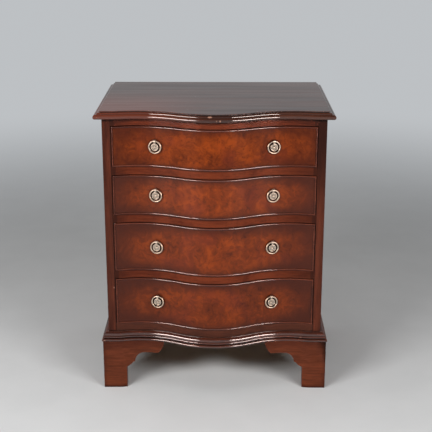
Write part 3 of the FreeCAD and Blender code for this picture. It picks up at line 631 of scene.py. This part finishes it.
def burr_veneer(name, shift, depth, toning_and_shade, shine):
    """Burr veneer darker towards its ends and edges, partly toned polish and partly painted shade, under
    polish. Depth below 1 darkens the leaf, on the lower drawers partly as painted shade.
    """
    material, tree, shader = new_material(name)
    colours = {part: (*(colour * depth), 1.0) for part, colour in BURR_COLOURS.items()}
    burr = place_group(tree, BURR_FIGURE, Shift=shift, **colours)
    across, _, up = split(tree, share_of(tree))
    # Darker towards the ends and edges: partly toned polish, partly painted shade.
    ends = times(tree, from_middle(tree, across, LEAF_MIDDLE), 2.0)
    edges = times(tree, from_middle(tree, up, LEAF_HEART), 2.0)
    squares = [sums(tree, "POWER", distance, RIM_SQUARENESS) for distance in (ends, edges)]
    rim = sums(tree, "POWER", sums(tree, "ADD", *squares), 1 / RIM_SQUARENESS)
    ragged = times(tree, noise(tree, place_on(tree), RAGGED_PATCHES), RAGGED_REACH)
    tone_and_shade = fade(tree, sums(tree, "ADD", rim, ragged), RIM_START, RIM_END, high=toning_and_shade)
    age_shade_and_polish(tree, shader, blend(tree, tone_and_shade, burr["Colour"], TONED_AND_SHADED_COLOUR), burr["Eyes"], shine)
    return material


HAZY_SHINE = coat_of_polish(0.85, 0.28, 1.3)
LEAF_STEP = Vector((0.9, 0.0, 0.37))
# The lower leaves are darker partly as painted shade, where less light reaches them.
LEAVES = {
    1: (0.95, 0.74, SOFT_SHINE),
    2: (1.0, 0.92, HAZY_SHINE),
    3: (0.93, 0.92, HAZY_SHINE),
    4: (0.84, 0.92, HAZY_SHINE),
}
for number, (depth, toning_and_shade, shine) in LEAVES.items():
    leaf = burr_veneer(f"burr_veneer_{number}", LEAF_STEP * number, depth, toning_and_shade, shine)
    dress(f"drawer_{number}_front", leaf, shine_group=FLAT_FACES)

# Cockbeads
# Thin round-nosed mahogany strips let into a rebate round every drawer front, mitred at the corners
# and glued. Their polish is brightest in the middle and dulled towards the ends.

BEAD_ROUNDING = 0.0002
BEAD_SHINE = coat_of_polish(1.0, 0.2, 1.79)
BEAD_RIPPLE = 0.03
BEAD_END_BAND = (0.12, 0.19, 1.0, 0.45)
UPRIGHT_BEAD_BAND = (0.2430, 0.2455, 1.0, 0.7)
bead_mahogany = polished_mahogany("bead_mahogany", CROSS_GRAIN, BEAD_SHINE, ripple=BEAD_RIPPLE)
bead_tree = bead_mahogany.node_tree
bead_out = from_middle(bead_tree, split(bead_tree, place_on(bead_tree))["X"])
end_polish = fade(bead_tree, bead_out, *BEAD_END_BAND)
upright_polish = fade(bead_tree, bead_out, *UPRIGHT_BEAD_BAND)
feed(bead_tree.nodes["Principled BSDF"], "Coat Weight", times(bead_tree, end_polish, upright_polish))
for number in DRAWERS:
    dress(f"drawer_{number}_cockbead", bead_mahogany, BEAD_ROUNDING, MOULDED_EDGES)

# Ring pulls
# Cast and turned brass, pale with age: a dished boss with a button, a knuckle above it
# and a plain ring. A stud and a hexagon nut hold each boss through the front.

RING_BRASS = (0.81, 0.645, 0.495, 1.0)
BOSS_BRASS = (0.70, 0.595, 0.49, 1.0)
BRASS_TARNISH = (0.44, 0.34, 0.25, 1.0)
TARNISH_BLOTCHES = 420.0
TARNISH_SPREAD = (0.42, 0.70, 0.0, 0.6)
# Dirt and painted shade darken the brass in its hollows and in the gap round the boss.
BRASS_DIRT_AND_SHADE = (0.05, 0.035, 0.02, 1.0)
BRASS_DIRT_AND_SHADE_REACH = 0.004
BRASS_DIRT_AND_SHADE_SHARE = 0.7
BRASS_EDGE_WIDTH = 0.0004
BRASS_SMOOTHEST = 0.20
BRASS_DULLEST = 0.36


def aged_brass(name, pale):
    """Old brass, tarnished brown where fingers and cloths don't reach, with dirt and painted shade in its
    hollows.
    """
    material, tree, shader = new_material(name)
    blotches = fade(tree, noise(tree, place_on(tree), TARNISH_BLOTCHES, detail=5.0), *TARNISH_SPREAD)
    spotted = blend(tree, blotches, pale, BRASS_TARNISH)
    age_and_shade_masks = place_group(tree, AGE_AND_SHADE, Dirt_Reach=BRASS_DIRT_AND_SHADE_REACH, Edge_Width=BRASS_EDGE_WIDTH)
    feed(shader, "Base Color", blend(tree, times(tree, age_and_shade_masks["Dirt And Shade"], BRASS_DIRT_AND_SHADE_SHARE), spotted, BRASS_DIRT_AND_SHADE))
    polish = place_group(
        tree, HAND_POLISH, Smoothest=BRASS_SMOOTHEST, Dullest=BRASS_DULLEST, Pores=blotches)
    feed(shader, "Roughness", polish["Roughness"])
    set_values(shader, {"Metallic": 1.0})
    return material


ring_brass = aged_brass("ring_brass", RING_BRASS)
boss_brass = aged_brass("boss_brass", BOSS_BRASS)
BRIGHT_METAL = bpy.data.collections.new("bright_metal")
for number in DRAWERS:
    for fitting in ("pull_bosses", "pull_nuts"):
        dress(f"drawer_{number}_{fitting}", boss_brass, shine_group=BRIGHT_METAL)
    for ring in ("left_ring", "right_ring"):
        dress(f"drawer_{number}_{ring}", ring_brass, shine_group=BRIGHT_METAL)

# Wood screws
# Countersunk steel screws, gone dull and brown in the wood. They hold the back panel in its rebate
# and the top board down on the case.

STEEL_COLOUR = (0.36, 0.35, 0.33, 1.0)
STEEL_ROUGHNESS = 0.38
STEEL_METALLIC = 0.9
RUST_COLOUR = (0.16, 0.085, 0.045, 1.0)
RUST_ROUGHNESS = 0.75
RUST_BLOTCHES = 500.0
RUST_SPREAD = (0.40, 0.65)


def dull_steel(name):
    """Screw steel with a brown bloom of rust."""
    material, tree, shader = new_material(name)
    bloom = fade(tree, noise(tree, place_on(tree), RUST_BLOTCHES, detail=5.0), *RUST_SPREAD)
    feed(shader, "Base Color", blend(tree, bloom, STEEL_COLOUR, RUST_COLOUR))
    feed(shader, "Roughness", fade(tree, bloom, 0.0, 1.0, STEEL_ROUGHNESS, RUST_ROUGHNESS))
    set_values(shader, {"Metallic": STEEL_METALLIC})
    return material


dress("wood_screws", dull_steel("dull_steel"))

# Floor and light
# A pale grey floor that curves up into a wall all round. Soft lamps stand in front to the left
# and the right and hang overhead, and three behind and beside the chest light it alone.
# Lamps and panels that give shine alone stand below the front ones.

FLOOR_RADIUS = 3.4
WALL_CURVE = 1.5
WALL_HEIGHT = 4.0
CURVE_STEPS = 24
ROUND_STEPS = 128


def make_floor():
    """Round floor with a curved-up wall, turned from one profile."""
    profile = [(0.0, 0.0), (FLOOR_RADIUS, 0.0)]
    for step in range(1, CURVE_STEPS + 1):
        turn = math.pi / 2 * step / CURVE_STEPS
        profile.append((FLOOR_RADIUS + WALL_CURVE * math.sin(turn), WALL_CURVE * (1 - math.cos(turn))))
    profile.append((FLOOR_RADIUS + WALL_CURVE, WALL_HEIGHT))
    points = []
    faces = []
    for radius, height in profile:
        for step in range(ROUND_STEPS):
            turn = 2 * math.pi * step / ROUND_STEPS
            points.append((radius * math.cos(turn), radius * math.sin(turn), height))
    for ring in range(len(profile) - 1):
        for step in range(ROUND_STEPS):
            here = ring * ROUND_STEPS + step
            beside = ring * ROUND_STEPS + (step + 1) % ROUND_STEPS
            faces.append((here, beside, beside + ROUND_STEPS, here + ROUND_STEPS))
    mesh = bpy.data.meshes.new("floor")
    mesh.from_pydata(points, [], faces)
    mesh.shade_smooth()
    floor = bpy.data.objects.new("floor", mesh)
    bpy.context.scene.collection.objects.link(floor)
    return floor


FLOOR_DARK = (0.645, 0.65, 0.65, 1.0)
FLOOR_LIGHT = (0.67, 0.675, 0.675, 1.0)
FLOOR_MOTTLES = 7.0
MOTTLE_SPREAD = (0.3, 0.7)
FLOOR_FINISH = {"Roughness": 0.8, "Specular IOR Level": 0.2}
WALL_PAINT = (0.12, 0.12, 0.12, 1.0)
WALL_FOOT_BAND = (0.02, 0.5)
WALL_COLOUR = (0.51, 0.53, 0.55, 1.0)
WALL_BAND = (0.8, 3.4)


def floor_paint():
    """Matt pale grey floor that passes into an evenly bright wall, as the eye and mirrors see it."""
    material, tree, shader = new_material("floor_paint")
    place = place_on(tree)
    mottle = fade(tree, noise(tree, place, FLOOR_MOTTLES, detail=6.0), *MOTTLE_SPREAD)
    colour = blend(tree, mottle, FLOOR_DARK, FLOOR_LIGHT)
    climb = fade(tree, split(tree, place)["Z"], *WALL_FOOT_BAND)
    feed(shader, "Base Color", blend(tree, climb, colour, WALL_PAINT))
    set_values(shader, FLOOR_FINISH)
    rays = put(tree, "LightPath").outputs
    seen = most(tree, rays["Is Camera Ray"], rays["Is Glossy Ray"], rays["Is Transmission Ray"])
    wall_share = times(tree, fade(tree, measure(tree, "LENGTH", place), *WALL_BAND), seen)
    wall = put(tree, "Emission", {"Color": WALL_COLOUR})
    both = put(tree, "MixShader", {0: wall_share, 1: shader.outputs[0], 2: wall.outputs[0]})
    feed(tree.nodes["Material Output"], "Surface", both.outputs[0])
    return material


floor = make_floor()
floor.data.materials.append(floor_paint())

LAMP_TARGET = Vector((0.0, -0.15, 0.4))
LAMP_DISTANCE = 2.2
LAMP_WIDTH = 1.2


def stand(thing, angle, height, distance=LAMP_DISTANCE):
    """Stand a lamp or panel round the chest, an angle to the right of straight in front, to face it."""
    thing.location = (distance * math.sin(angle), LAMP_TARGET.y - distance * math.cos(angle), height)
    thing.rotation_mode = "QUATERNION"
    thing.rotation_quaternion = (LAMP_TARGET - thing.location).to_track_quat("-Z", "Y")
    bpy.context.scene.collection.objects.link(thing)
    return thing


def soft_lamp(name, angle, height, tall, power):
    """Wide soft lamp that faces the chest."""
    light = bpy.data.lights.new(name, "AREA")
    light.shape = "RECTANGLE"
    light.size = LAMP_WIDTH
    light.size_y = tall
    light.energy = power
    return stand(bpy.data.objects.new(name, light), angle, height)


LAMP_HEIGHT = 1.52
LAMP_TALL = 0.42
LAMP_ANGLES = {"left": math.radians(-41), "right": math.radians(40)}
LAMP_POWERS = {"left": 44.0, "right": 37.0}
lamps = []
for side, angle in LAMP_ANGLES.items():
    lamps.append(soft_lamp(f"{side}_lamp", angle, LAMP_HEIGHT, LAMP_TALL, LAMP_POWERS[side]))

WHOLE_CHEST = bpy.data.collections.new("whole_chest")
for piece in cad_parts.values():
    WHOLE_CHEST.objects.link(piece)
END_LAMP_HEIGHT = 0.55
CHEST_LAMPS = {
    "rear_lamp": (math.radians(-165), LAMP_HEIGHT, 22.0),
    "left_end_lamp": (math.radians(-118), END_LAMP_HEIGHT, 11.0),
    "right_end_lamp": (math.radians(118), END_LAMP_HEIGHT, 14.0),
}
for name, (angle, height, power) in CHEST_LAMPS.items():
    chest_lamp = soft_lamp(name, angle, height, LAMP_TALL, power)
    chest_lamp.light_linking.receiver_collection = WHOLE_CHEST
    lamps.append(chest_lamp)

OVERHEAD_PLACE = (-0.5, -0.1, 2.8)
OVERHEAD_SIZE = 2.4
OVERHEAD_POWER = 23.0
overhead_light = bpy.data.lights.new("overhead_lamp", "AREA")
overhead_light.size = OVERHEAD_SIZE
overhead_light.energy = OVERHEAD_POWER
overhead_lamp = bpy.data.objects.new("overhead_lamp", overhead_light)
overhead_lamp.location = OVERHEAD_PLACE
bpy.context.scene.collection.objects.link(overhead_lamp)
lamps.append(overhead_lamp)
for lamp in lamps:
    lamp.visible_glossy = False

SHINE_COLOUR = (1.0, 0.83, 0.77)
SHINE_LAMP_HEIGHT = 1.02
SHINE_LAMP_TALL = 1.15
SHINE_POWERS = {"flat": (FLAT_FACES, 95.0), "metal": (BRIGHT_METAL, 22.0)}
for side, angle in LAMP_ANGLES.items():
    for use, (pieces, power) in SHINE_POWERS.items():
        shine_lamp = soft_lamp(f"{side}_{use}_shine", angle, SHINE_LAMP_HEIGHT, SHINE_LAMP_TALL, power)
        shine_lamp.data.color = SHINE_COLOUR
        shine_lamp.visible_diffuse = False
        shine_lamp.light_linking.receiver_collection = pieces

PANEL_DISTANCE = 2.5
PANEL_HEIGHT = 0.72
PANEL_WIDTH = 1.36
PANEL_TALL = 0.62
PANEL_GLOW = 33.0


def shine_panel(name):
    """Clear glowing panel that only the moulded edges mirror. It throws no light on anything."""
    out = PANEL_WIDTH / 2
    up = PANEL_TALL / 2
    corners = [(-out, -up, 0.0), (out, -up, 0.0), (out, up, 0.0), (-out, up, 0.0)]
    mesh = bpy.data.meshes.new(name)
    mesh.from_pydata(corners, [], [(0, 1, 2, 3)])
    material, tree, shader = new_material(name)
    tree.nodes.remove(shader)
    light = put(tree, "Emission", {"Color": (*SHINE_COLOUR, 1.0), "Strength": PANEL_GLOW}).outputs[0]
    both = put(tree, "AddShader", {0: light, 1: put(tree, "BsdfTransparent").outputs[0]})
    feed(tree.nodes["Material Output"], "Surface", both.outputs[0])
    material.cycles.emission_sampling = "NONE"
    mesh.materials.append(material)
    panel = bpy.data.objects.new(name, mesh)
    for rays in ("camera", "diffuse", "transmission", "volume_scatter", "shadow"):
        setattr(panel, f"visible_{rays}", False)
    panel.light_linking.receiver_collection = MOULDED_EDGES
    return panel


for side, angle in LAMP_ANGLES.items():
    stand(shine_panel(f"{side}_panel"), angle, PANEL_HEIGHT, PANEL_DISTANCE)

ROOM_LIGHT = {"Color": (0.9, 0.95, 1.0, 1.0), "Strength": 0.05}
room = bpy.data.worlds.new("room")
room.use_nodes = True
set_values(room.node_tree.nodes["Background"], ROOM_LIGHT)
bpy.context.scene.world = room
bpy.context.scene.view_settings.view_transform = "Standard"

# Camera
# Placed where the photograph was taken from: above the top's height, looking down at the front.

CAMERA_PLACE = Vector((0.0227, -2.506, 1.222))
CAMERA_PITCH = math.radians(17.97)
CAMERA_TURN = math.radians(0.46)
CAMERA_LENS = 83.62
SENSOR_WIDTH = 36.0
lens = bpy.data.cameras.new("camera")
lens.lens = CAMERA_LENS
lens.sensor_width = SENSOR_WIDTH
camera = bpy.data.objects.new("camera", lens)
camera.location = CAMERA_PLACE
camera.rotation_euler = (math.pi / 2 - CAMERA_PITCH, 0.0, CAMERA_TURN)
bpy.context.scene.collection.objects.link(camera)
bpy.context.scene.camera = camera
